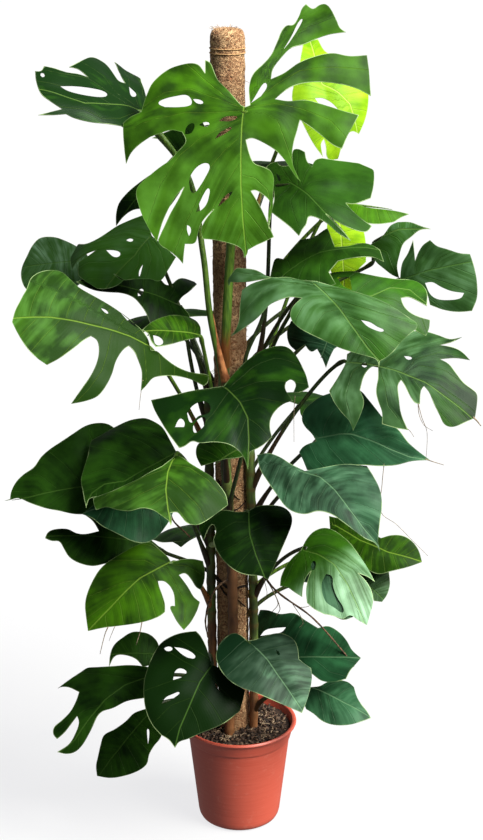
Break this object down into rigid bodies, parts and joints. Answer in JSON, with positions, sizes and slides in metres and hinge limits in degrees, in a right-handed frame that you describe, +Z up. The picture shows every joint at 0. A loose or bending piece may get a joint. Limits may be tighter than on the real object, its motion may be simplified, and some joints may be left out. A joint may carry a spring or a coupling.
{
  "type": "potted swiss cheese plant",
  "caption": "Tall swiss cheese plant with large split leaves climbing a coir pole in a round plastic nursery pot.",
  "frame": {"origin": "centre of the pot's flat underside", "axes": "+Z up along the pole, -Y towards the side that faces the viewer, +X to the viewer's right"},
  "size_m": [0.8253, 0.6708, 1.5436],
  "materials": {
    "pot": "satin terracotta-coloured plastic",
    "soil": "rough bark and peat mix",
    "stake": "plain wood",
    "coir": "rough matted coconut fibre",
    "cord": "rough jute cord",
    "root": "dry brown aerial root",
    "stem": "smooth green stem",
    "leaf_new": "soft satin, lime green",
    "leaf_bright": "satin, fresh green",
    "leaf_green": "glossy, mid green",
    "leaf_dark": "glossy, dark green",
    "leaf_blue": "glossy, dark green with a cool sheen"
  },
  "bodies": {
    "root": {"pot": "pot", "soil": "soil", "pole_stake": "stake", "pole_coir": "coir", "pole_cord_1": "cord", "pole_cord_2": "cord", "root_right": "root", "root_left": "root", "root_front": "root", "stem_front": "stem", "stem_right": "stem", "stem_left": "stem", "stem_back": "stem", "leaf_top_front": "leaf_bright", "leaf_upper_left": "leaf_green", "leaf_new_lime": "leaf_new", "leaf_right_high": "leaf_dark", "leaf_right_arch": "leaf_dark", "leaf_mid_lime": "leaf_new", "leaf_glossy": "leaf_green", "leaf_glossy_behind": "leaf_dark", "leaf_far_right": "leaf_dark", "leaf_far_right_up": "leaf_green", "leaf_right_hanging": "leaf_green", "leaf_heart_right_upper": "leaf_blue", "leaf_heart_right_mid": "leaf_blue", "leaf_heart_right_back": "leaf_bright", "leaf_right_low_cut": "leaf_green", "leaf_right_low_dark": "leaf_dark", "leaf_heart_pot": "leaf_blue", "leaf_right_low_long": "leaf_blue", "leaf_right_low_pot": "leaf_blue", "leaf_centre": "leaf_green", "leaf_left_front": "leaf_bright", "leaf_heart_left": "leaf_dark", "leaf_heart_far_left": "leaf_dark", "leaf_left_blue": "leaf_blue", "leaf_left_low_bright": "leaf_bright", "leaf_left_low_dark": "leaf_dark", "leaf_heart_centre": "leaf_dark", "leaf_pot_front": "leaf_dark", "leaf_pot_left_long": "leaf_dark", "leaf_pot_left_low": "leaf_dark", "leaf_pot_left_back": "leaf_dark", "leaf_left_big": "leaf_bright", "leaf_left_back_round": "leaf_dark", "leaf_left_upper": "leaf_green", "leaf_left_upper_dark": "leaf_dark", "leaf_small_bright": "leaf_bright", "leaf_behind_top_left": "leaf_dark", "leaf_right_back_high": "leaf_bright", "leaf_right_dark_back": "leaf_dark", "leaf_under_centre": "leaf_green", "leaf_back_high": "leaf_green", "leaf_back_left": "leaf_dark", "leaf_back_right": "leaf_dark", "leaf_back_low": "leaf_green"}
  },
  "joints": []
}
